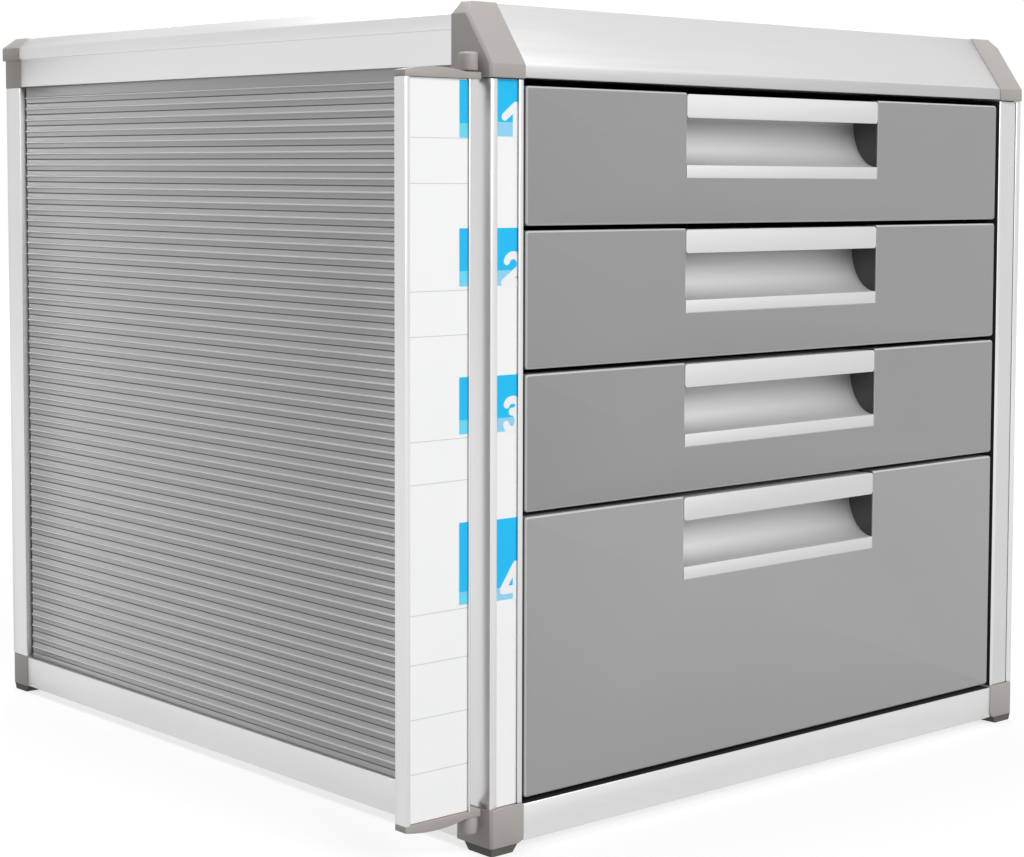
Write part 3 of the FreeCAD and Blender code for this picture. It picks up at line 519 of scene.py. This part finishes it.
# Zinc-plated steel: a bright metal with a slightly milky, uneven gloss.
zincSteel, zincTree, zincBody = newMaterial("zincPlatedSteel", Metallic=1.0)
zincPlace = addNode(zincTree, "ShaderNodeTexCoord").outputs["Object"]
zincCloud = addNode(zincTree, "ShaderNodeTexNoise", {
    "Vector": zincPlace, "Scale": grainSize(screws["cloud"]), "Detail": 3.0,
}).outputs["Fac"]
dress(zincTree, zincBody, screws, zincCloud, zincCloud)


def addRing(work, centre, points, lift):
    places = [(centre[0] + x, centre[1] + lift, centre[2] + z) for x, z in points]
    verts = [work.verts.new([value * mm for value in place]) for place in places]
    return [work.edges.new((verts[k - 1], verts[k])) for k in range(len(verts))], verts


def addScrewHead(work, centre):
    radius, height = screws["headRadius"], screws["headHeight"]
    profile = [(1.0, -screws["sunk"])] + [(part, rise * height) for part, rise in screws["rounding"]]
    turns = [2 * math.pi * k / screws["circleSteps"] for k in range(screws["circleSteps"])]
    rings = []
    for part, lift in profile:
        circle = [(radius * part * math.cos(turn), radius * part * math.sin(turn)) for turn in turns]
        rings.append(addRing(work, centre, circle, lift))
    reach, half = screws["recessReach"], screws["recessHalfWidth"]
    quarter = ((reach, -half), (reach, half), (half, half))
    cross = []
    for c, t in ((1, 0), (0, 1), (-1, 0), (0, -1)):
        cross += [(c * x - t * z, t * x + c * z) for x, z in quarter]
    rings.append(addRing(work, centre, cross, height))
    taper = [(0.5 * x, 0.5 * z) for x, z in cross]
    rings.append(addRing(work, centre, taper, height - screws["recessDepth"]))
    for (lower, _), (upper, _) in zip(rings, rings[1:]):
        bmesh.ops.bridge_loops(work, edges=lower + upper)
    work.faces.new(rings[0][1])
    work.faces.new(rings[-1][1])


def screwsOf(drawer):
    low, high = nodeBounds(drawer + "_front")
    wall = high[1] + screws["wallThickness"]

    def heads(work):
        for x in (low[0] + screws["sideGap"], high[0] - screws["sideGap"]):
            for z in (low[2] + screws["edgeGap"], high[2] - screws["edgeGap"]):
                addScrewHead(work, (x, wall, z))

    addPiece(drawer + "_screws", drawer, zincSteel, heads)


for number in (1, 2, 3, 4):
    screwsOf("drawer_%d" % number)
print("screws set")

# Camera: a long lens from the front left, a little under the top.
cameraSettings = {
    "place": (-636.9, -764.9, 240.5),  # mm
    "right": (0.72602, -0.68764, 0.00636),
    "up": (0.04245, 0.05404, 0.99764),
    "lens": 77.52,
    "shift": (-0.1282, -0.0985),
    "sensor": 36,
    "clip": (0.01, 50),  # m
}
lens = bpy.data.cameras.new("productLens")
camera = bpy.data.objects.new("productCamera", lens)
bpy.context.scene.collection.objects.link(camera)
right = Vector(cameraSettings["right"]).normalized()
up = Vector(cameraSettings["up"]).normalized()
axes = Matrix((right, up, right.cross(up))).transposed()
camera.matrix_world = Matrix.Translation(Vector(cameraSettings["place"]) * mm) @ axes.to_4x4()
lens.lens = cameraSettings["lens"]
lens.sensor_width = cameraSettings["sensor"]
lens.shift_x, lens.shift_y = cameraSettings["shift"]
lens.clip_start, lens.clip_end = cameraSettings["clip"]
bpy.context.scene.camera = camera
print("camera placed")

# Studio: a pale floor under a white sky, a large soft box in front, one overhead and a fill behind.
studio = {
    "floorSize": 16,
    "floorTone": "#9c9c9c",
    "floorGlow": (0.7, 0.88),  # beside the cabinet and far away
    "glowSpread": (0.4, 1.6),  # m
    "skyLevel": 0.36,
    "aim": (0, 0, 0.15),  # m, where every lamp points
    "lamps": [
        {"name": "softBoxFront", "place": (0.0, -3.3, 2.3), "size": 2.4, "watts": 106},
        {"name": "softBoxTop", "place": (-0.45, 0.4, 1.8), "size": 1.0, "watts": 14},
        {"name": "softBoxBack", "place": (2.4, 2.8, 1.9), "size": 2.2, "watts": 55},
    ],
}


# 1 for a ray from the camera or off a gloss or through a clear piece, 0 for a ray that carries light.
def seenDirectly(tree):
    rays = addNode(tree, "ShaderNodeLightPath").outputs
    seen = rays["Is Camera Ray"]
    for kind in ("Is Glossy Ray", "Is Transmission Ray"):
        seen = addNode(tree, "ShaderNodeMath", {0: seen, 1: rays[kind]}, operation="MAXIMUM").outputs[0]
    return seen


def makeFloor():
    half = studio["floorSize"] / 2
    work = bmesh.new()
    corners = ((-half, -half), (half, -half), (half, half), (-half, half))
    work.faces.new([work.verts.new((x, y, 0)) for x, y in corners])
    mesh = bpy.data.meshes.new("studioFloor")
    work.to_mesh(mesh)
    work.free()
    floor = bpy.data.objects.new("studioFloor", mesh)
    bpy.context.scene.collection.objects.link(floor)
    material = bpy.data.materials.new("paintedFloorPale")
    material.use_nodes = True
    tree = material.node_tree
    tree.nodes.clear()
    matte = addNode(tree, "ShaderNodeBsdfDiffuse", {"Color": srgb(studio["floorTone"])})
    glow = addNode(tree, "ShaderNodeEmission", {"Color": (1, 1, 1, 1)})
    place = addNode(tree, "ShaderNodeTexCoord").outputs["Object"]
    away = addNode(tree, "ShaderNodeVectorMath", {0: place}, operation="LENGTH").outputs["Value"]
    (near, far), (beside, distant) = studio["glowSpread"], studio["floorGlow"]
    fade = addNode(tree, "ShaderNodeMapRange", {
        "Value": away, "From Min": near, "From Max": far, "To Min": beside, "To Max": distant,
    })
    strength = addNode(
        tree, "ShaderNodeMath", {0: seenDirectly(tree), 1: fade.outputs["Result"]}, operation="MULTIPLY",
    )
    tree.links.new(strength.outputs[0], glow.inputs["Strength"])
    both = addNode(tree, "ShaderNodeAddShader", {0: matte.outputs[0], 1: glow.outputs[0]})
    addNode(tree, "ShaderNodeOutputMaterial", {"Surface": both.outputs[0]})
    mesh.materials.append(material)


def makeSky():
    world = bpy.data.worlds.new("studioSky")
    bpy.context.scene.world = world
    world.use_nodes = True
    tree = world.node_tree
    tree.nodes.clear()
    strength = addNode(tree, "ShaderNodeMapRange", {
        "Value": seenDirectly(tree), "To Min": studio["skyLevel"], "To Max": 1.0,
    })
    strength = strength.outputs["Result"]
    sky = addNode(tree, "ShaderNodeBackground", {"Color": (1, 1, 1, 1), "Strength": strength})
    addNode(tree, "ShaderNodeOutputWorld", {"Surface": sky.outputs[0]})


def makeLamp(settings):
    lamp = bpy.data.lights.new(settings["name"], "AREA")
    lamp.size = settings["size"]
    lamp.energy = settings["watts"]
    holder = bpy.data.objects.new(settings["name"], lamp)
    bpy.context.scene.collection.objects.link(holder)
    holder.location = settings["place"]
    aim = Vector(studio["aim"]) - holder.location
    holder.rotation_mode = "QUATERNION"
    holder.rotation_quaternion = aim.to_track_quat("-Z", "Y")
    holder.visible_camera = False


makeFloor()
makeSky()
for lampSettings in studio["lamps"]:
    makeLamp(lampSettings)
bpy.context.scene.view_settings.view_transform = "Standard"
print("studio lit")
